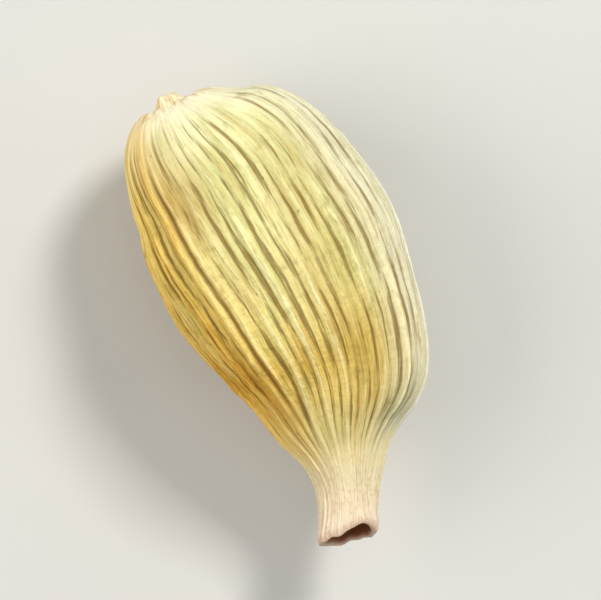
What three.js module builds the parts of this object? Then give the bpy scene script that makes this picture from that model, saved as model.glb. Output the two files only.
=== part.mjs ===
// Green cardamom pod: one dried fruit, whole and closed, lying on its side.
// The pod is a single solid, a plump three-sided capsule with ribs along its length, a stalk scar at the
// blunt end and a short hollow beak, the dried rest of the flower tube, at the narrow end.
// Millimetres, +Z up. +X runs from the stalk scar to the beak. The origin is below the middle of the pod,
// on the surface that it lies on.
import * as THREE from "three";
import { ParametricGeometry } from "three/addons/geometries/ParametricGeometry.js";

const { clamp, lerp, smoothstep, degToRad, euclideanModulo } = THREE.MathUtils;

// Overall size
const BODY_RADIUS = 4.26; // half the width at the belly, before the ribs
const HEIGHT_SHARE = 0.94; // the dried pod is a little lower than it is wide
const AXIS_HEIGHT = 4.09; // from the surface up to the axis at the belly, short enough to leave a flat spot

// Three-sided section
const CORNER_ANGLES = [34, 121, 266].map(degToRad); // from +Y towards +Z
const CORNER_SPREAD = degToRad(29);
const CORNER_SHARE = 0.06; // how far the corners stand out and the sides lie back, of the radius
const CORNER_SHARE_AT_SCAR = 0.09;
const KEEL_HEIGHT = 0.13; // extra rise along each corner
const KEEL_SPREAD = degToRad(8);

// Ribs along the pod
const RIB_COUNT = 27;
const RIB_HEIGHT = 0.16;
const RIB_STRENGTH = [0.6, 1]; // the weakest and the strongest rib, of RIB_HEIGHT
const RIB_JITTER = 0.24; // how far a rib strays, of the rib spacing
const CREST_POWER = 3; // a higher power makes the crests narrower and the valleys broader
const COLUMNS_PER_RIB = 3;
const ROWS_PER_OUTLINE_POINT = 3;

// Towards the stalk scar the ribs and corners of the upper side fan out from this angle
const FAN_MIDDLE = degToRad(105);
const FAN_TURN = degToRad(20); // how far those a quarter turn away are moved

// Low swellings where the seeds press from inside, made by two crossing waves
const SWELL_HEIGHT = 0.03;
const SWELL_WAVES = [
  { alongRate: 1.7, aroundRate: 2, start: 0.6 },
  { alongRate: 1.1, aroundRate: -3, start: 2 },
];

// Outline of the pod as [distance along the axis, radius]. On the body the radius is a share of BODY_RADIUS.
const SCAR_OUTLINE = [
  [0.16, 0],
  [0.19, 0.3],
  [0.4, 0.45],
  [0.62, 0.64],
];
const BODY_OUTLINE = [
  [0.5, 0.28],
  [0.68, 0.37],
  [1.35, 0.56],
  [2.5, 0.75],
  [4.3, 0.92],
  [6.5, 1],
  [8.7, 0.945],
  [10.5, 0.845],
  [12, 0.71],
  [13.2, 0.51],
  [14.1, 0.345],
].map(([along, share]) => [along, share * BODY_RADIUS]);
const BEAK_OUTLINE = [
  [15.1, 1.08],
  [16.1, 0.98],
  [16.85, 1.02],
  [16.97, 0.94],
];
const HOLE_OUTLINE = [
  [16.85, 0.78],
  [16.1, 0.6],
  [15.4, 0.38],
  [15.3, 0],
];

// The rim of the beak is cut at a slant, longest on its -Y side
const RIM_SLANT = 0.26;
const SLANT_START = [15.3, 16.85];

// Middle line of the pod, which bends to -Y at the beak and lifts a little at both ends
const MIDDLE_LINE = [
  [0, -0.86, 0.25],
  [1.5, -0.8, 0.16],
  [4, -0.2, 0.03],
  [8, 0.26, 0],
  [11, 0.14, 0.02],
  [13, -0.5, 0.12],
  [15, -1.12, 0.4],
  [17, -2.1, 0.85],
];

// Stretches along the axis where the fan fades, and where the ribs, the corners and the swellings grow and fade
const FAN_END = [0.5, 7];
const RIB_START = [0.4, 3];
const RIB_END = [12, 15.5];
const RIB_SHARE_AT_BEAK = 0.22;
const CORNER_START = [0.8, 4];
const CORNER_END = [11, 15];
const SWELL_START = [0.8, 4];
const SWELL_END = [10, 14];

const POD_COLOUR = 0xcdbf78;
const POD_ROUGHNESS = 0.72;

const outlineCurve = new THREE.CatmullRomCurve3(
  [...SCAR_OUTLINE, ...BODY_OUTLINE, ...BEAK_OUTLINE, ...HOLE_OUTLINE].map(
    ([along, radius]) => new THREE.Vector3(along, radius, 0),
  ),
);
const outsideEnd = SCAR_OUTLINE.length + BODY_OUTLINE.length + BEAK_OUTLINE.length - 1;
const outlineSteps = outlineCurve.points.length - 1;
const rimRadius = outlineCurve.points[outsideEnd].y;

const middleCurve = new THREE.CatmullRomCurve3(
  MIDDLE_LINE.map(([x, y, z]) => new THREE.Vector3(x, y, z)),
);
const middleLength = middleCurve.getLength();

// An even spread of values from 0 to 1, one for each whole number
function scatter(index, step) {
  return euclideanModulo(index * step, 1);
}

const GOLDEN_STEP = 0.618034;
const PLASTIC_STEP = 0.754878;

// The angle of a rib's crest: evenly spaced from the underside, each moved a little to one side
function ribAngle(index) {
  const jitter = (scatter(index % RIB_COUNT, GOLDEN_STEP) - 0.5) * RIB_JITTER;
  return ((index + jitter) / RIB_COUNT) * 2 * Math.PI - Math.PI / 2;
}

function ribStrength(index) {
  return lerp(...RIB_STRENGTH, scatter(index % RIB_COUNT, PLASTIC_STEP));
}

// Height of the ribs at a share of the way round: a narrow crest at each rib and a broad valley between two
function ribRelief(share) {
  const place = share * RIB_COUNT;
  const distance = Math.abs(place - Math.round(place));
  return ribStrength(Math.round(place)) * Math.cos(Math.PI * distance) ** CREST_POWER;
}

function angleAround(share) {
  const place = share * RIB_COUNT;
  const before = Math.floor(place);
  return lerp(ribAngle(before), ribAngle(before + 1), place - before);
}

// How much of the ribs is left at a place along the axis
function ribAmount(along) {
  const grown = smoothstep(along, ...RIB_START);
  return grown * lerp(1, RIB_SHARE_AT_BEAK, smoothstep(along, ...RIB_END));
}

// A rounded hump that falls from 1 at its middle to nothing
function hump(distance, spread) {
  return Math.exp(-((distance / spread) ** 2));
}

function angleFromNearestCorner(angle) {
  const distances = CORNER_ANGLES.map((corner) => {
    const turn = euclideanModulo(angle - corner, 2 * Math.PI);
    return Math.min(turn, 2 * Math.PI - turn);
  });
  return Math.min(...distances);
}

// Radius of the outside at an angle, for a plain radius given by the outline
function outsideRadius(radius, along, angle, share) {
  const fromCorner = angleFromNearestCorner(angle);
  const cornerFade = 1 - smoothstep(along, ...CORNER_END);
  const cornerShare = lerp(CORNER_SHARE_AT_SCAR, CORNER_SHARE, smoothstep(along, ...CORNER_START));
  const corner = cornerShare * cornerFade * (2 * hump(fromCorner, CORNER_SPREAD) - 1);
  const keel = KEEL_HEIGHT * cornerFade * hump(fromCorner, KEEL_SPREAD);

  const swellFade = smoothstep(along, ...SWELL_START) * (1 - smoothstep(along, ...SWELL_END));
  let swell = 0;
  for (const { alongRate, aroundRate, start } of SWELL_WAVES) {
    swell += Math.sin(alongRate * along + aroundRate * angle + start);
  }

  const relief = RIB_HEIGHT * ribRelief(share) + keel;
  return radius * (1 + corner) + relief * ribAmount(along) + SWELL_HEIGHT * swellFade * swell;
}

// The pod's surface: aroundShare goes once round it, and lengthShare goes from the stalk scar over the
// outside to the rim of the beak and back into its smooth hole
function podSurface(aroundShare, lengthShare, target) {
  const outline = outlineCurve.getPoint(lengthShare);
  const angle = angleAround(aroundShare);
  const isOutside = lengthShare * outlineSteps <= outsideEnd;
  const radius = isOutside ? outsideRadius(outline.y, outline.x, angle, aroundShare) : outline.y;

  const fan = FAN_TURN * (1 - smoothstep(outline.x, ...FAN_END));
  const turned = angle + fan * Math.sin(angle - FAN_MIDDLE);
  const slant = RIM_SLANT * (outline.y / rimRadius) * smoothstep(outline.x, ...SLANT_START);
  const along = outline.x - slant * Math.cos(turned);
  const middleShare = clamp(along / middleLength, 0, 1);
  const forward = middleCurve.getTangentAt(middleShare);
  const side = new THREE.Vector3(0, 0, 1).cross(forward).normalize();
  const up = forward.clone().cross(side);

  target.copy(middleCurve.getPointAt(middleShare));
  target.addScaledVector(side, radius * Math.cos(turned));
  target.addScaledVector(up, radius * Math.sin(turned) * HEIGHT_SHARE);
  target.z = Math.max(target.z + AXIS_HEIGHT, 0);
}

function makePod() {
  const rows = ROWS_PER_OUTLINE_POINT * outlineSteps;
  const geometry = new ParametricGeometry(podSurface, RIB_COUNT * COLUMNS_PER_RIB, rows);
  geometry.computeBoundingBox();
  const middle = geometry.boundingBox.getCenter(new THREE.Vector3());

  const material = new THREE.MeshStandardMaterial({ color: POD_COLOUR, roughness: POD_ROUGHNESS });
  const pod = new THREE.Mesh(geometry, material);
  pod.name = "cardamom_pod";
  pod.position.set(-middle.x, -middle.y, 0);
  return pod;
}

const cardamom = new THREE.Group();
cardamom.add(makePod());

export default cardamom;
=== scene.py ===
"""Looks for the green cardamom pod: one whole dried pod on a pale floor, seen from above."""

import math

import bpy
import numpy as np
from mathutils import Matrix, Vector


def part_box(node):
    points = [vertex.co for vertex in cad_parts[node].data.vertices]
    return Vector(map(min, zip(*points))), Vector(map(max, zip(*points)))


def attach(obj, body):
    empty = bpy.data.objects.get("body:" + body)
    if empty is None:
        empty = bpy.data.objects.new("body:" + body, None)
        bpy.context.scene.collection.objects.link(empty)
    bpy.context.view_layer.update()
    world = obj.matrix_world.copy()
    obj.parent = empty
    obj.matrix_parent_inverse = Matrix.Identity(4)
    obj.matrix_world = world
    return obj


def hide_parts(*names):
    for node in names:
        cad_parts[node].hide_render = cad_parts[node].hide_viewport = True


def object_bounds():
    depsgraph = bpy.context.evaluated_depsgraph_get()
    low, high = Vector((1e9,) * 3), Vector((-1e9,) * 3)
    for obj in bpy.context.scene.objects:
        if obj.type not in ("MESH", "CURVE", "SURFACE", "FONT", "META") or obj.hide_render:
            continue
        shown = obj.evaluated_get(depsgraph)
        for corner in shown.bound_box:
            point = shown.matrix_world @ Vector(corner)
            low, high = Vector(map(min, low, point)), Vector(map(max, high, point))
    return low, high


MM = 0.001

# Form of the pod in millimetres, with the same values as the solid
BODY_RADIUS = 4.26
HEIGHT_SHARE = 0.94
AXIS_HEIGHT = 4.09
CORNER_ANGLES = np.radians([34, 121, 266])  # from +Y towards +Z
RIGHT_CORNER, LEFT_CORNER, LOWER_CORNER = CORNER_ANGLES
CORNER_SPREAD = math.radians(29)
CORNER_SHARE = 0.06
CORNER_SHARE_AT_SCAR = 0.09
KEEL_HEIGHT = 0.13
KEEL_SPREAD = math.radians(8)
FAN_MIDDLE = math.radians(105)
FAN_TURN = math.radians(20)
RIB_COUNT = 27
RIB_HEIGHT = 0.16
RIB_STRENGTH = (0.6, 1)
RIB_JITTER = 0.24
SWELL_HEIGHT = 0.03
SWELL_WAVES = [(1.7, 2, 0.6), (1.1, -3, 2)]  # rate along the pod, rate round it and start of each wave

# Outline as distance along the middle line and radius, which on the body is a share of BODY_RADIUS
SCAR_OUTLINE = [(0.16, 0), (0.19, 0.3), (0.4, 0.45), (0.62, 0.64)]
BODY_OUTLINE = [
    (0.5, 0.28),
    (0.68, 0.37),
    (1.35, 0.56),
    (2.5, 0.75),
    (4.3, 0.92),
    (6.5, 1),
    (8.7, 0.945),
    (10.5, 0.845),
    (12, 0.71),
    (13.2, 0.51),
    (14.1, 0.345),
]
BEAK_OUTLINE = [(15.1, 1.08), (16.1, 0.98), (16.85, 1.02), (16.97, 0.94)]
HOLE_OUTLINE = [(16.85, 0.78), (16.1, 0.6), (15.4, 0.38), (15.3, 0)]
RIM_SLANT = 0.26
SLANT_START = (15.3, 16.85)

# Middle line of the pod, which bends at the beak and lifts a little at both ends
MIDDLE_LINE = [
    (0, -0.86, 0.25),
    (1.5, -0.8, 0.16),
    (4, -0.2, 0.03),
    (8, 0.26, 0),
    (11, 0.14, 0.02),
    (13, -0.5, 0.12),
    (15, -1.12, 0.4),
    (17, -2.1, 0.85),
]

# Stretches along the pod where the fan of the ribs, the ribs, the corners and the swellings grow or fade
FAN_END = (0.5, 7)
RIB_START = (0.4, 3)
RIB_END = (12, 15.5)
RIB_SHARE_AT_BEAK = 0.22
CORNER_START = (0.8, 4)
CORNER_END = (11, 15)
SWELL_START = (0.8, 4)
SWELL_END = (10, 14)

# Steps that scatter the ribs' places and strengths evenly
GOLDEN_STEP = 0.618034
PLASTIC_STEP = 0.754878

# Fine relief of the ribs, which the solid leaves out: heights in millimetres, widths in rib spacings
RIDGE_SHARE = 0.62  # how much of a rib's height is the thin ridge on it
RIDGE_WIDTH = 0.13
FOOT_PLACE = 0.29  # of the furrow at each side of a ridge
FOOT_WIDTH = 0.095
FOOT_DEPTH = 0.04
RIB_SWAY = 0.05  # how far a rib sways to the side
RIB_CHANGE = 0.15  # change of a rib's height along it, of its height
CHANGE_LIMIT = 2  # of the pattern that changes it
BETWEEN_HEIGHT = 0.04  # of the finer rib between two ribs
BETWEEN_WIDTH = 0.09
BETWEEN_SHARE = 0.7  # how pale it is beside a rib
BETWEEN_STRAY = 0.3  # how far it strays from the middle

# Lines and groove along the corners
KEEL_LINE_SHARES = np.array([0.2, 1, 0.6])  # how clear the lines along each corner are
KEEL_LINE_HEIGHT = 0.1
KEEL_LINE_GAP = math.radians(6)  # from one line to the other
KEEL_LINE_SPREAD = math.radians(1.5)
GROOVE_DEPTH = 0.05
GROOVE_SPREAD = math.radians(1.3)

# Veins, wrinkles and shallow dents
VEIN_HEIGHT = 0.026
VEIN_WIDTH = 0.3
WRINKLE_HEIGHT = 0.008
DENT_HEIGHT = 0.03

# The ridge low on the pale face, whose bright colour is a painted highlight
SIDE_RIDGE_ANGLE = math.radians(8)
SIDE_RIDGE_SPREAD = math.radians(3.5)
SIDE_RIDGE_HEIGHT = 0.09
SIDE_RIDGE_START = (3, 8)
SIDE_RIDGE_END = (12.5, 14.5)

# Smoother stretches: angle and place of the middle, spread round the pod and along it, share of relief lost
SMOOTH_STRETCHES = [
    (math.radians(62), 2.2, math.radians(38), 2.8, 0.45),
    (math.radians(30), 4.5, math.radians(24), 4.0, 0.4),
    (math.radians(86), 11.4, math.radians(24), 1.8, 0.3),
    (math.radians(18), 10.0, math.radians(16), 4.0, 0.75),
]

# Folds round the stalk scar, and its crumbled face
SCAR_FOLD_HEIGHT = 0.05
SCAR_FOLD_STRETCH = (0.45, 1.6)
SCAR_CRUMBLE = 0.07
SCAR_CRUMBLE_STRETCH = (0.25, 0.6)

# Dents in the beak, and the tears and the notch in its rim
BEAK_STRETCH = (13.2, 15.2)
BEAK_DENT_HEIGHT = 0.045
RIM_TEAR = 0.02
RIM_TEAR_STRETCH = (16.2, 16.9)
RIM_NOTCH_DEPTH = 0.26
RIM_NOTCH_ANGLE = math.radians(62)
RIM_NOTCH_SPREAD = math.radians(34)

# Random patterns: how many waves are added, their number round the pod and their rate along it
SEED = 11
SWAY_PATTERN = (12, (3, 9), (0.2, 0.7))
CHANGE_PATTERN = (10, (5, 13), (0.3, 1.1))
DENT_PATTERN = (8, (1, 5), (0.3, 0.9))
VEIN_PATTERN = (40, (40, 80), (0.05, 0.5))
WRINKLE_PATTERN = (30, (5, 24), (4, 11))
SCAR_FOLD_PATTERN = (6, (6, 13), (0, 0.4))
TEAR_PATTERN = (9, (3, 14), (0, 0))
BEAK_DENT_PATTERN = (8, (1, 4), (0.8, 2.4))
SCAR_CRUMBLE_PATTERN = (7, (1, 6), (0, 0))

# Mesh
COLUMNS_PER_RIB = 18
COLUMNS = RIB_COUNT * COLUMNS_PER_RIB
ROW_SPACING = 0.125
FEWEST_ROWS = 5  # from one point of the outline to the next
MIDDLE_SAMPLES = 4000

# Colours of the husk from the stalk scar to the beak: distance along the pod and sRGB value
LENGTH_COLOURS = [
    (0.0, (238, 224, 190)),
    (0.7, (250, 243, 206)),
    (1.6, (255, 252, 204)),
    (3.0, (252, 248, 188)),
    (6.0, (249, 241, 172)),
    (8.5, (246, 230, 152)),
    (10.8, (231, 198, 98)),
    (12.2, (243, 215, 124)),
    (13.2, (250, 231, 154)),
    (14.8, (238, 224, 180)),
    (16.8, (238, 222, 200)),
]
POD_LENGTH = 17.0  # that these colours are spread over

# Other colours of the husk, as sRGB values
# FOOT_COLOUR is painted shade in the furrows beside the ridges; the cross wrinkles use it too
FOOT_COLOUR = (138, 114, 54)
# RIDGE_COLOUR is partly the ribs' own paler colour and partly painted highlight on their crests
RIDGE_COLOUR = (255, 247, 190)
# Painted highlight on the ridge low on the pale face
SIDE_RIDGE_HIGHLIGHT_COLOUR = (248, 244, 224)
GREEN_COLOUR = (186, 192, 100)
OCHRE_COLOUR = (202, 152, 50)
WARM_COLOUR = (184, 150, 64)
# Painted shade, dull green, for where the surface turns away below the bulge near the neck
GREY_SHADE_COLOUR = (150, 152, 104)
FIBRE_TINT = (206, 182, 130)
BEAK_FIBRE_COLOUR = (194, 158, 112)
GOLDEN_TINT = (255, 221, 136)
# Pale face colour: partly the husk's own paler colour and partly painted light on the side facing the light
# from the right
PALE_COLOUR = (232, 229, 200)
BLOTCH_COLOUR = (156, 144, 68)
SPECK_COLOUR = (124, 88, 40)
RIM_COLOUR = (190, 140, 100)
HOLLOW_COLOUR = (132, 74, 38)

# Where a colour shows: the pattern's value where it starts and where it is full, and its share there
GREEN_PAINT = (0.45, 0.7, 0.45)
OCHRE_PAINT = (0.48, 0.74, 0.5)
SPOT_PAINT = (0, 1, 1)
PALE_PAINT = (0, 1, 0.8)
FOOT_SHADE_PAINT = (0.06, 0.75, 0.8)
RIDGE_PAINT = (0.25, 0.9, 0.7)
SIDE_RIDGE_HIGHLIGHT_PAINT = (0.1, 0.8, 0.9)
GROOVE_PAINT = (0.2, 0.9, 0.7)
FIBRE_PAINT = (0.48, 0.72, 0.55)
CROSS_PAINT = (0.52, 0.8, 0.16)
BLOTCH_PAINT = (0.58, 0.74, 0.5)
SPECK_PAINT = (0.7, 0.77, 0.6)
RIM_PAINT = (16.6, 16.95, 0.38)  # by the distance along the pod
BEAK_FIBRE_PAINT = (0.45, 0.7, 0.6)
BEAK_CROSS_PAINT = (0.48, 0.72, 0.5)
SCAR_CROSS_PAINT = (0.4, 0.7, 0.75)

# Parts of the pod along its length: where each starts and where it is full, and its share there
BODY_START_AREA = (0.5, 1.5, 1)
BODY_END_AREA = (14.8, 13.0, 1)
SCAR_AREA = (0.95, 0.4, 1)
BEAK_AREA = (13.4, 15.2, 1)
LIP_RADII = (0.88, 0.74)  # in the hole, where the pale lip ends and where it is dark

# Soft spots of colour: angle and place of the middle, spread round the pod and along it, share of the colour
WARM_SPOTS = [
    (math.radians(114), 3.2, math.radians(18), 2.6, 0.65),
    (math.radians(72), 5.4, math.radians(10), 3.0, 0.3),
    (math.radians(84), 8.6, math.radians(12), 2.0, 0.28),
    (math.radians(165), 8.5, math.radians(26), 4.0, 0.3),
    (math.radians(48), 5.0, math.radians(20), 2.8, 0.4),
    (math.radians(66), 11.2, math.radians(15), 2.2, 0.4),
    (math.radians(130), 12.4, math.radians(16), 1.4, 0.35),
]
# This spot is painted shade where the surface turns away below the bulge near the neck
GREY_SHADE_SPOTS = [(math.radians(40), 12.6, math.radians(22), 1.2, 0.5)]

# The golden face and the pale one: where each face's colour grows from its corners and along the pod
GOLDEN_EDGE = (math.radians(-17), math.radians(10))
PALE_EDGE = (math.radians(-40), math.radians(10))
PALE_LOW_EDGE = (math.radians(-20), math.radians(80))
GOLDEN_START = (-2, 3)
GOLDEN_END = (11.5, 15.5)

# What streaks and fibres do: the pattern's values at two ends, and the factors or the roughness there
GOLDEN_STREAKS = (0.3, 0.65, 0.6, 1)
FOOT_FIBRES = (0.35, 0.65, 0.3, 1.5)
RIDGE_FIBRES = (0.3, 0.7, 1.2, 0.6)
ROUGHNESS_FIBRES = (0.3, 0.7, 0.58, 0.8)

# How the husk's random patterns are drawn out: across the pod twice, then along it
PATCH_STRETCH = (1.5, 1.5, 0.2)
STREAK_STRETCH = (11, 11, 0.16)
FIBRE_STRETCH = (34, 34, 0.6)
CROSS_STRETCH = (9, 9, 4.5)
BLOTCH_STRETCH = (5, 5, 0.9)
SPECK_STRETCH = (10, 10, 2.4)
NOISE_DETAIL = 3
NOISE_ROUGHNESS = 0.6

# Finish of the husk
BUMP_DISTANCE = 0.0002  # in metres
BUMP_STRENGTH = 0.9
CROSS_BUMP = 0.5
SPECULAR = 0.22

# Floor: size in metres, colours as sRGB values, and how its grain is drawn out
FLOOR_SIZE = 3.0
FLOOR_COLOUR = (210, 209, 205)
FLOOR_SHADE = (205, 204, 199)
FLOOR_GRAIN = (60, 60, 60)
FLOOR_ROUGHNESS = 0.8

# Camera above the pod, turned so that the pod lies in the image as in the photograph
IMAGE_TURN = math.radians(64.08)  # from +X to the right of the image
IMAGE_RIGHT = Vector((math.cos(IMAGE_TURN), math.sin(IMAGE_TURN), 0))
IMAGE_UP = Vector((-math.sin(IMAGE_TURN), math.cos(IMAGE_TURN), 0))
LENS = 400  # in millimetres, like the sensor
SENSOR = 36
FRAME_WIDTH = 0.02048  # in metres, at the middle of the pod
CLIP = (0.005, 10)  # in metres

# Lights: direction as image right, image up and towards the camera, then metres away, size, watts and colour
LIGHTS = {
    "key": ((0.62, 0.78, 1.2), 0.4, 0.09, 1.12, (1.0, 0.985, 0.95)),
    "fill": ((-1, 0, 0.9), 0.4, 0.3, 0.84, (1.0, 0.95, 0.87)),
    "top": ((0, 0, 1), 0.45, 0.3, 0.2, (0.97, 0.99, 1.0)),
    "side": ((1, -0.1, 0.16), 0.4, 0.1, 0.26, (0.95, 0.97, 1.0)),
}
WORLD_COLOUR = (0.93, 0.95, 1.0, 1)
WORLD_STRENGTH = 0.33


def lerp(low, high, share):
    return low + (high - low) * share


def smoothstep(value, start, end):
    """0 at the start and 1 at the end, with a soft step between them."""
    share = np.clip((value - start) / (end - start), 0, 1)
    return share * share * (3 - 2 * share)


def hump(distance, spread):
    """A rounded hump that falls from 1 at its middle to nothing."""
    return np.exp(-((distance / spread) ** 2))


def turn(angle, start):
    """The turn from the start to an angle, up to half a turn either way."""
    return (angle - start + math.pi) % (2 * math.pi) - math.pi


def curve_points(points, places):
    """Points of a smooth curve through the given ones, of the kind that the solid has. A place on it is
    a point's number plus the share of the way to the next."""
    points = np.asarray(points, float)
    padded = np.vstack([2 * points[0] - points[1], points, 2 * points[-1] - points[-2]])
    start = np.clip(np.floor(places).astype(int), 0, len(points) - 2)
    share = (places - start)[:, None]
    before, here, there, after = (padded[start + step] for step in range(4))

    def gap(first, second):
        return np.sqrt(np.linalg.norm(second - first, axis=1, keepdims=True))

    gap_in, gap_here, gap_out = gap(before, here), gap(here, there), gap(there, after)
    leave = (here - before) / gap_in - (there - before) / (gap_in + gap_here) + (there - here) / gap_here
    arrive = (there - here) / gap_here - (after - here) / (gap_here + gap_out) + (after - there) / gap_out
    leave = leave * gap_here
    arrive = arrive * gap_here
    square = 3 * (there - here) - 2 * leave - arrive
    cube = 2 * (here - there) + leave + arrive
    return here + share * (leave + share * (square + share * cube))


def waves(random, pattern, angle, along):
    """A random pattern that closes round the pod: cosines with a whole number of waves round it."""
    count, (fewest, most), along_range = pattern
    around_rates = random.integers(fewest, most + 1, count) * random.choice([-1, 1], count)
    along_rates = random.uniform(*along_range, count)
    starts = random.uniform(0, 2 * math.pi, count)
    total = 0
    for around_rate, along_rate, start in zip(around_rates, along_rates, starts):
        total = total + np.cos(around_rate * angle + along_rate * along + start)
    return total / math.sqrt(count / 2)


def scatter(index, step):
    """An even spread of values from 0 to 1, one for each whole number."""
    return (index * step) % 1


def rib_angle(index):
    """The angle of a rib: evenly spaced from the underside, each moved a little to one side."""
    jitter = (scatter(index % RIB_COUNT, GOLDEN_STEP) - 0.5) * RIB_JITTER
    return (index + jitter) / RIB_COUNT * 2 * math.pi - math.pi / 2


def angle_around(share):
    """The angle at a share of the way round, which follows the uneven spacing of the ribs."""
    place = share * RIB_COUNT
    before = np.floor(place)
    return lerp(rib_angle(before), rib_angle(before + 1), place - before)


def middle_frames(along):
    """The middle line's point at each distance along it, with the directions to the side and up."""
    places = np.linspace(0, len(MIDDLE_LINE) - 1, MIDDLE_SAMPLES)
    line = curve_points(MIDDLE_LINE, places)
    steps = np.linalg.norm(np.diff(line, axis=0), axis=1)
    distance = np.concatenate([[0], np.cumsum(steps)])
    slope = np.gradient(line, distance, axis=0)

    def at(table):
        return np.stack([np.interp(along, distance, table[:, axis]) for axis in range(3)], axis=-1)

    forward = at(slope)
    forward /= np.linalg.norm(forward, axis=-1, keepdims=True)
    side = np.cross((0, 0, 1), forward)
    side /= np.linalg.norm(side, axis=-1, keepdims=True)
    return at(line), side, np.cross(forward, side)


def outline_places(outline):
    """Places of the mesh's rings on the outline, close together where its points are."""
    lengths = np.linalg.norm(np.diff(outline, axis=0), axis=1)
    rows = np.maximum(FEWEST_ROWS, np.round(lengths / ROW_SPACING)).astype(int)
    spans = [np.linspace(start, start + 1, count, endpoint=False) for start, count in enumerate(rows)]
    return np.concatenate(spans)[1:]


def corner_relief(angle, along):
    """How far the corners stand out, as a share of the radius and in millimetres, with the two thin lines and
    the groove along each, and how much of the ribs is left beside them."""
    turns = turn(angle[..., None], CORNER_ANGLES)
    from_corner = np.abs(turns).min(axis=-1)
    line_share = KEEL_LINE_SHARES[np.abs(turns).argmin(axis=-1)]
    fade = 1 - smoothstep(along, *CORNER_END)
    rise = lerp(CORNER_SHARE_AT_SCAR, CORNER_SHARE, smoothstep(along, *CORNER_START))
    share = rise * fade * (2 * hump(from_corner, CORNER_SPREAD) - 1)
    lines = line_share * hump(from_corner - KEEL_LINE_GAP / 2, KEEL_LINE_SPREAD)
    groove = line_share * hump(from_corner, GROOVE_SPREAD)
    keel = KEEL_HEIGHT * hump(from_corner, KEEL_SPREAD) + KEEL_LINE_HEIGHT * lines - GROOVE_DEPTH * groove
    clear = 1 - line_share * fade * hump(from_corner, KEEL_LINE_GAP)
    return share, keel * fade, lines * fade, groove * fade, clear


def rib_relief(random, share, angle, along):
    """Height of the ribs, and how much of a thin ridge or of the foot of one there is at each point."""
    place = share * RIB_COUNT + RIB_SWAY * waves(random, SWAY_PATTERN, angle, along)
    nearest = np.round(place)
    number = nearest % RIB_COUNT
    change = waves(random, CHANGE_PATTERN, number / RIB_COUNT * 2 * math.pi, along)
    change = 1 + RIB_CHANGE * np.clip(change, -CHANGE_LIMIT, CHANGE_LIMIT)
    strength = lerp(*RIB_STRENGTH, scatter(number, PLASTIC_STEP)) * change
    beside = place - nearest
    ridge = hump(beside, RIDGE_WIDTH) * strength
    swell = np.cos(math.pi * beside) ** 2 * strength
    foot = hump(np.abs(beside) - FOOT_PLACE, FOOT_WIDTH) * strength

    before = np.floor(place)
    valley = before % RIB_COUNT
    stray = (scatter(valley, PLASTIC_STEP) - 0.5) * BETWEEN_STRAY
    between = hump(place - before - 0.5 - stray, BETWEEN_WIDTH) * scatter(valley + 1, GOLDEN_STEP)
    height = RIB_HEIGHT * lerp(swell, ridge, RIDGE_SHARE) + BETWEEN_HEIGHT * between - FOOT_DEPTH * foot
    return height, np.maximum(ridge, BETWEEN_SHARE * between), foot


def spot(angle, along, middle, place, spread, length):
    """A soft spot: 1 at its middle, fading round it."""
    return hump(turn(angle, middle), spread) * hump(along - place, length)


def spots(angle, along, places):
    """How much of a spot's colour there is at each point."""
    return sum(share * spot(angle, along, *place) for *place, share in places)


def rib_amount(angle, along):
    """How much of the ribs and of what lies on them is left at each point."""
    amount = smoothstep(along, *RIB_START) * lerp(1, RIB_SHARE_AT_BEAK, smoothstep(along, *RIB_END))
    for *stretch, lost in SMOOTH_STRETCHES:
        amount = amount * (1 - lost * spot(angle, along, *stretch))
    return amount


def side_ridge_amount(angle, along):
    """How much of the ridge low on the pale face there is at each point."""
    fade = smoothstep(along, *SIDE_RIDGE_START) * (1 - smoothstep(along, *SIDE_RIDGE_END))
    return hump(turn(angle, SIDE_RIDGE_ANGLE), SIDE_RIDGE_SPREAD) * fade


def swellings(random, angle, along):
    """Height of the low swellings and of the shallow dents."""
    swell = sum(np.sin(rate * along + around * angle + start) for rate, around, start in SWELL_WAVES)
    dent = waves(random, DENT_PATTERN, angle, along)
    fade = smoothstep(along, *SWELL_START) * (1 - smoothstep(along, *SWELL_END))
    return (SWELL_HEIGHT * swell + DENT_HEIGHT * dent) * fade


def scar_folds(random, angle, along):
    """Height of the folds round the stalk scar."""
    near_scar = smoothstep(along, 0, SCAR_FOLD_STRETCH[0]) * (1 - smoothstep(along, *SCAR_FOLD_STRETCH))
    return SCAR_FOLD_HEIGHT * waves(random, SCAR_FOLD_PATTERN, angle, along) * near_scar


def rim_tears(random, angle, along):
    """How far the torn rim of the beak is moved along the pod."""
    notch = RIM_NOTCH_DEPTH * hump(turn(angle, RIM_NOTCH_ANGLE), RIM_NOTCH_SPREAD)
    tears = RIM_TEAR * waves(random, TEAR_PATTERN, angle, along)
    return (tears - notch) * smoothstep(along, *RIM_TEAR_STRETCH)


def beak_dents(random, angle, along):
    """Height of the dents in the beak."""
    dents = BEAK_DENT_HEIGHT * waves(random, BEAK_DENT_PATTERN, angle, along)
    return dents * smoothstep(along, *BEAK_STRETCH)


def scar_crumble(random, angle, along):
    """How far the edge of the crumbled stalk scar is moved along the pod."""
    crumble = SCAR_CRUMBLE * waves(random, SCAR_CRUMBLE_PATTERN, angle, along)
    return crumble * (1 - smoothstep(along, *SCAR_CRUMBLE_STRETCH))


def face_between(angle, first, first_edge, last, last_edge):
    """1 on the face between two corners, with a soft edge at each corner."""
    return smoothstep(turn(angle, first), *first_edge) * smoothstep(turn(last, angle), *last_edge)


def golden_face(angle, along):
    """How golden the husk is. It is golden from the left corner to the lower one."""
    fade = smoothstep(along, *GOLDEN_START) * (1 - smoothstep(along, *GOLDEN_END))
    return face_between(angle, LEFT_CORNER, GOLDEN_EDGE, LOWER_CORNER, GOLDEN_EDGE) * fade


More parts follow.
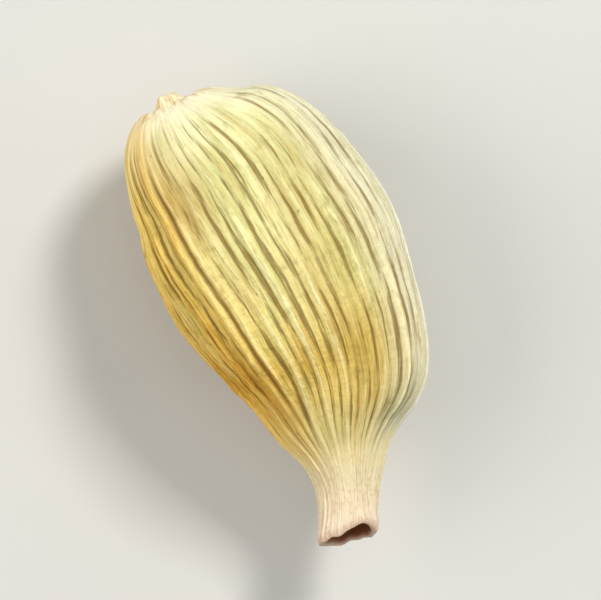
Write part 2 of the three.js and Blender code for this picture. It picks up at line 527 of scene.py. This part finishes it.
def pale_face(angle):
    """How pale the husk is. It is pale from the lower corner to the right one: partly its own paler colour
    and partly painted light on the side that faces the light from the right.
    """
    return face_between(angle, LOWER_CORNER, PALE_LOW_EDGE, RIGHT_CORNER, PALE_EDGE)


def pod_surface():
    """The pod's rings of points in millimetres, and what the husk's colours depend on at each point."""
    random = np.random.default_rng(SEED)
    body = [(along, share * BODY_RADIUS) for along, share in BODY_OUTLINE]
    outside = SCAR_OUTLINE + body + BEAK_OUTLINE
    outline = outside + HOLE_OUTLINE
    scar_radius = SCAR_OUTLINE[-1][1]
    rim_radius = BEAK_OUTLINE[-1][1]

    places = outline_places(outline)
    along, radius = (column[:, None] for column in curve_points(outline, places).T)
    is_outside = (places <= len(outside) - 1)[:, None]
    share = np.arange(COLUMNS)[None, :] / COLUMNS
    angle = angle_around(share)

    # Corners, ribs and what lies on them, the side ridge, the swellings and the folds at the scar
    corner, keel, lines, groove, clear = corner_relief(angle, along)
    ribs, ridge, foot = (clear * values for values in rib_relief(random, share, angle, along))
    veins = VEIN_HEIGHT * hump(waves(random, VEIN_PATTERN, angle, along), VEIN_WIDTH)
    wrinkles = WRINKLE_HEIGHT * waves(random, WRINKLE_PATTERN, angle, along)
    amount = rib_amount(angle, along)
    side_ridge = side_ridge_amount(angle, along)
    relief = (ribs + keel + veins + wrinkles) * amount + SIDE_RIDGE_HEIGHT * side_ridge
    relief = relief + swellings(random, angle, along) + scar_folds(random, angle, along)

    # Points round the middle line, with the slanted and torn rim and the crumbled scar moved along it
    tears = rim_tears(random, angle, along)
    dents = beak_dents(random, angle, along) * np.minimum(radius / rim_radius, 1)
    crumble = scar_crumble(random, angle, along) * radius / scar_radius
    width = np.where(is_outside, radius * (1 + corner) + relief, radius) + dents
    fan = FAN_TURN * (1 - smoothstep(along, *FAN_END))
    turned = angle + fan * np.sin(angle - FAN_MIDDLE)
    slant = RIM_SLANT * radius / rim_radius * smoothstep(along, *SLANT_START)
    centre, side, up = middle_frames(along - slant * np.cos(turned) + tears + crumble)
    points = centre + side * (width * np.cos(turned))[..., None]
    points = points + up * (width * np.sin(turned) * HEIGHT_SHARE)[..., None]
    points[..., 2] = np.maximum(points[..., 2] + AXIS_HEIGHT, 0)

    full = np.ones_like(width)
    looks = {
        "warm": spots(angle, along, WARM_SPOTS),
        # painted shade near the neck
        "grey": spots(angle, along, GREY_SHADE_SPOTS),
        "golden": golden_face(angle, along),
        # pale: the paler face, partly own colour and partly painted light
        "pale": pale_face(angle) * full,
        # ridge: where the ridges and corner lines get their paler colour and painted highlight
        "ridge": np.maximum(ridge, lines) * np.sqrt(amount),
        # side_ridge: where the ridge low on the pale face gets its painted highlight
        "side_ridge": side_ridge,
        # foot: where painted shade darkens the furrow at each side of a ridge
        "foot": foot * np.sqrt(amount),
        "groove": groove * amount,
        "girth": radius / BODY_RADIUS * full,
        "hollow": np.where(is_outside, 0, smoothstep(radius, *LIP_RADII)) * full,
        "place": np.stack([np.cos(angle) * full, np.sin(angle) * full, along * full], axis=-1),
    }
    return points, looks


def pod_faces(rows):
    """Corner numbers of the quads between rings, and of the triangles that close the two ends."""
    ring = np.arange(rows * COLUMNS).reshape(rows, COLUMNS) + 1
    beside = np.roll(ring, -1, axis=1)
    quads = np.stack([ring[:-1], beside[:-1], beside[1:], ring[1:]], axis=-1).reshape(-1, 4)
    first, last = 0, rows * COLUMNS + 1
    start_fan = [(first, second, corner) for corner, second in zip(ring[0], beside[0])]
    end_fan = [(last, corner, second) for corner, second in zip(ring[-1], beside[-1])]
    return quads.tolist() + np.array(start_fan + end_fan).tolist()


def add_map(mesh, rows):
    """Unrolls the pod into a rectangle, cut along its underside."""
    column = np.arange(COLUMNS)
    row = np.arange(1, rows + 1)
    left = np.broadcast_to(column / COLUMNS, (rows, COLUMNS))
    right = np.broadcast_to((column + 1) / COLUMNS, (rows, COLUMNS))
    height = np.broadcast_to(row[:, None] / (rows + 1), (rows, COLUMNS))
    corners = [
        (left[:-1], height[:-1]),
        (right[:-1], height[:-1]),
        (right[1:], height[1:]),
        (left[1:], height[1:]),
    ]
    quads = np.stack([np.stack(corner, axis=-1) for corner in corners], axis=2).reshape(-1, 2)
    middle = (left[0] + right[0]) / 2
    start_fan = [middle, 0 * middle, right[0], height[0], left[0], height[0]]
    end_fan = [middle, 0 * middle + 1, left[-1], height[-1], right[-1], height[-1]]
    fans = [np.stack(fan, axis=-1).reshape(-1, 2) for fan in (start_fan, end_fan)]
    layer = mesh.uv_layers.new(name="OFBake")
    layer.data.foreach_set("uv", np.concatenate([quads, *fans]).ravel().astype(np.float32))


def make_pod():
    """The husk as one closed mesh, in the place of the solid."""
    points, looks = pod_surface()
    rows = len(points)
    ends = [points[0].mean(axis=0), points[-1].mean(axis=0)]
    places = np.vstack([ends[0], points.reshape(-1, 3), ends[1]]) * MM
    low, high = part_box("cardamom_pod")
    shift = (np.array(low) + np.array(high) - places.min(axis=0) - places.max(axis=0)) / 2
    shift[2] = 0  # the pod stays on the floor

    mesh = bpy.data.meshes.new("husk")
    mesh.from_pydata((places + shift).tolist(), [], pod_faces(rows))
    mesh.polygons.foreach_set("use_smooth", np.ones(len(mesh.polygons), bool))
    add_map(mesh, rows)
    for name, values in looks.items():
        is_vector = values.ndim == 3
        flat = values.reshape(rows * COLUMNS, -1)
        flat = np.vstack([values[0].mean(axis=0), flat, values[-1].mean(axis=0)])
        attribute = mesh.attributes.new(name, "FLOAT_VECTOR" if is_vector else "FLOAT", "POINT")
        attribute.data.foreach_set("vector" if is_vector else "value", flat.ravel().astype(np.float32))
    mesh.update()
    pod = bpy.data.objects.new("husk", mesh)
    bpy.context.collection.objects.link(pod)
    return pod


def linear(values):
    """A shader's linear colour from sRGB values of 0 to 255, by the standard sRGB curve."""
    shares = np.array(values) / 255
    light = np.where(shares <= 0.04045, shares / 12.92, ((shares + 0.055) / 1.055) ** 2.4)
    return (*light.tolist(), 1)


class Graph:
    """A material with short ways to add nodes to it."""

    def __init__(self, name):
        self.material = bpy.data.materials.new(name)
        self.material.use_nodes = True
        self.tree = self.material.node_tree
        self.tree.nodes.clear()

    def add(self, kind, inputs, **settings):
        node = self.tree.nodes.new(kind)
        for name, value in settings.items():
            setattr(node, name, value)
        for name, value in inputs.items():
            if isinstance(value, bpy.types.NodeSocket):
                self.tree.links.new(value, node.inputs[name])
            else:
                node.inputs[name].default_value = value
        return node

    def attribute(self, name, output="Fac"):
        return self.add("ShaderNodeAttribute", {}, attribute_name=name).outputs[output]

    def math(self, operation, first, second):
        return self.add("ShaderNodeMath", {0: first, 1: second}, operation=operation).outputs[0]

    def product(self, first, *others):
        for other in others:
            first = self.math("MULTIPLY", first, other)
        return first

    def span(self, value, start, end, low, high):
        inputs = {"Value": value, "From Min": start, "From Max": end, "To Min": low, "To Max": high}
        return self.add("ShaderNodeMapRange", inputs, interpolation_type="SMOOTHSTEP").outputs[0]

    def spread(self, value, start, full, share):
        return self.span(value, start, full, 0, share)

    def mix(self, factor, first, second, blend="MIX"):
        inputs = {0: factor, 6: first, 7: second}
        return self.add("ShaderNodeMix", inputs, data_type="RGBA", blend_type=blend).outputs[2]

    def noise(self, place, stretch):
        stretched = self.add("ShaderNodeVectorMath", {0: place, 1: stretch}, operation="MULTIPLY").outputs[0]
        inputs = {"Vector": stretched, "Scale": 1, "Detail": NOISE_DETAIL, "Roughness": NOISE_ROUGHNESS}
        return self.add("ShaderNodeTexNoise", inputs).outputs[0]

    def ramp(self, value, stops):
        node = self.add("ShaderNodeValToRGB", {0: value})
        elements = node.color_ramp.elements
        while len(elements) < len(stops):
            elements.new(0)
        for element, (place, values) in zip(elements, stops):
            element.position = place
            element.color = linear(values)
        return node.outputs[0]

    def finish(self, inputs):
        shader = self.add("ShaderNodeBsdfPrincipled", inputs)
        self.add("ShaderNodeOutputMaterial", {"Surface": shader.outputs[0]})
        return self.material


def husk_material():
    graph = Graph("husk")
    place = graph.attribute("place", "Vector")
    along = graph.add("ShaderNodeSeparateXYZ", {0: place}).outputs["Z"]
    on_body = graph.product(graph.spread(along, *BODY_START_AREA), graph.spread(along, *BODY_END_AREA))
    streaks = graph.noise(place, STREAK_STRETCH)
    fibres = graph.noise(place, FIBRE_STRETCH)
    cross = graph.noise(place, CROSS_STRETCH)

    # Colour along the pod
    stops = [(distance / POD_LENGTH, values) for distance, values in LENGTH_COLOURS]
    colour = graph.ramp(graph.math("DIVIDE", along, POD_LENGTH), stops)

    def paint(colour, pattern, spread, values, fade=on_body, blend="MIX"):
        amount = graph.product(graph.spread(pattern, *spread), fade)
        return graph.mix(amount, colour, linear(values), blend)

    # Broad patches, the two side faces and long streaks
    patches = graph.noise(place, PATCH_STRETCH)
    colour = paint(colour, patches, GREEN_PAINT, GREEN_COLOUR)
    colour = paint(colour, streaks, OCHRE_PAINT, OCHRE_COLOUR)
    colour = paint(colour, graph.attribute("warm"), SPOT_PAINT, WARM_COLOUR)
    # Pale face: partly own colour and partly painted light on the side facing the light from the right
    colour = paint(colour, graph.attribute("pale"), PALE_PAINT, PALE_COLOUR)
    # Painted shade near the neck, where the surface turns away below the bulge
    colour = paint(colour, graph.attribute("grey"), SPOT_PAINT, GREY_SHADE_COLOUR)

    # The dark feet of the ridges, mostly painted shade in the furrow at each side of a ridge with some of the
    # furrow's own darker colour, and the pale ridges, partly their own paler colour and partly painted
    # highlight, with fibres and cross wrinkles over them
    foot = graph.product(graph.attribute("foot"), graph.span(fibres, *FOOT_FIBRES))
    ridge = graph.product(graph.attribute("ridge"), graph.span(fibres, *RIDGE_FIBRES))
    # Painted shade in the furrow at each side of a ridge
    colour = paint(colour, foot, FOOT_SHADE_PAINT, FOOT_COLOUR)
    # Pale ridges: partly their own paler colour and partly painted highlight on the crests
    colour = paint(colour, ridge, RIDGE_PAINT, RIDGE_COLOUR, fade=1)
    # Painted highlight along the ridge low on the pale face
    colour = paint(colour, graph.attribute("side_ridge"), SIDE_RIDGE_HIGHLIGHT_PAINT, SIDE_RIDGE_HIGHLIGHT_COLOUR)
    colour = paint(colour, fibres, FIBRE_PAINT, FIBRE_TINT, blend="MULTIPLY")
    colour = paint(colour, cross, CROSS_PAINT, FOOT_COLOUR)
    colour = paint(colour, graph.noise(place, BLOTCH_STRETCH), BLOTCH_PAINT, BLOTCH_COLOUR)
    golden = graph.product(graph.attribute("golden"), graph.span(streaks, *GOLDEN_STREAKS))
    colour = graph.mix(golden, colour, linear(GOLDEN_TINT), "MULTIPLY")
    colour = paint(colour, graph.attribute("groove"), GROOVE_PAINT, SPECK_COLOUR)
    colour = paint(colour, graph.noise(place, SPECK_STRETCH), SPECK_PAINT, SPECK_COLOUR)

    # The mottled stalk scar
    on_scar = graph.spread(along, *SCAR_AREA)
    colour = paint(colour, cross, SCAR_CROSS_PAINT, BEAK_FIBRE_COLOUR, fade=on_scar)

    # Fibres and brown edge of the beak, and its dark hollow
    on_beak = graph.spread(along, *BEAK_AREA)
    colour = paint(colour, fibres, BEAK_FIBRE_PAINT, BEAK_FIBRE_COLOUR, fade=on_beak)
    colour = paint(colour, cross, BEAK_CROSS_PAINT, BEAK_FIBRE_COLOUR, fade=on_beak)
    colour = paint(colour, along, RIM_PAINT, RIM_COLOUR, fade=1)
    colour = graph.mix(graph.attribute("hollow"), colour, linear(HOLLOW_COLOUR))

    height = graph.math("ADD", fibres, graph.product(cross, CROSS_BUMP))
    height = graph.product(height, graph.attribute("girth"))
    bump = {"Strength": BUMP_STRENGTH, "Distance": BUMP_DISTANCE, "Height": height}
    inputs = {
        "Base Color": colour,
        "Roughness": graph.span(fibres, *ROUGHNESS_FIBRES),
        "Specular IOR Level": SPECULAR,
        "Normal": graph.add("ShaderNodeBump", bump).outputs[0],
    }
    return graph.finish(inputs)


def make_floor():
    half = FLOOR_SIZE / 2
    mesh = bpy.data.meshes.new("floor")
    corners = [(-half, -half, 0), (half, -half, 0), (half, half, 0), (-half, half, 0)]
    mesh.from_pydata(corners, [], [(0, 1, 2, 3)])
    graph = Graph("floor")
    grain = graph.noise(graph.add("ShaderNodeTexCoord", {}).outputs["Object"], FLOOR_GRAIN)
    colour = graph.mix(grain, linear(FLOOR_COLOUR), linear(FLOOR_SHADE))
    mesh.materials.append(graph.finish({"Base Color": colour, "Roughness": FLOOR_ROUGHNESS}))
    floor = bpy.data.objects.new("floor", mesh)
    bpy.context.collection.objects.link(floor)


def make_camera(centre):
    data = bpy.data.cameras.new("camera")
    data.lens = LENS
    data.sensor_width = SENSOR
    data.clip_start, data.clip_end = CLIP
    camera = bpy.data.objects.new("camera", data)
    distance = FRAME_WIDTH * LENS / SENSOR
    toward = IMAGE_RIGHT.cross(IMAGE_UP)
    rotation = Matrix((IMAGE_RIGHT, IMAGE_UP, toward)).transposed()
    camera.matrix_world = Matrix.Translation(centre + toward * distance) @ rotation.to_4x4()
    bpy.context.collection.objects.link(camera)
    bpy.context.scene.camera = camera


def make_lights(centre):
    for name, (direction, distance, size, watts, colour) in LIGHTS.items():
        data = bpy.data.lights.new(name, "AREA")
        data.size = size
        data.energy = watts
        data.color = colour
        light = bpy.data.objects.new(name, data)
        right, up, toward = direction
        back = (right * IMAGE_RIGHT + up * IMAGE_UP + toward * IMAGE_RIGHT.cross(IMAGE_UP)).normalized()
        light.location = centre + back * distance
        light.rotation_euler = back.to_track_quat("Z", "Y").to_euler()
        light.visible_camera = False
        bpy.context.collection.objects.link(light)


def make_world():
    world = bpy.data.worlds.new("world")
    world.use_nodes = True
    background = world.node_tree.nodes["Background"]
    background.inputs["Color"].default_value = WORLD_COLOUR
    background.inputs["Strength"].default_value = WORLD_STRENGTH
    bpy.context.scene.world = world


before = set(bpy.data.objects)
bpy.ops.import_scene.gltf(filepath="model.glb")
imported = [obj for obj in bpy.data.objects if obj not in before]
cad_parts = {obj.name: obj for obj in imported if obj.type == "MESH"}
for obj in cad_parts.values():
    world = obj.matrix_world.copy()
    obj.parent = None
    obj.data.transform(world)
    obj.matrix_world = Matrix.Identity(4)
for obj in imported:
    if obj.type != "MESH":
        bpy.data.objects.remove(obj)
cad_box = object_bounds()
pod = make_pod()
pod.data.materials.append(husk_material())
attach(pod, "root")
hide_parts("cardamom_pod")
make_floor()
low, high = cad_box
middle = (Vector(low) + Vector(high)) / 2
make_camera(middle)
make_lights(middle)
make_world()
bpy.context.scene.view_settings.view_transform = "Standard"
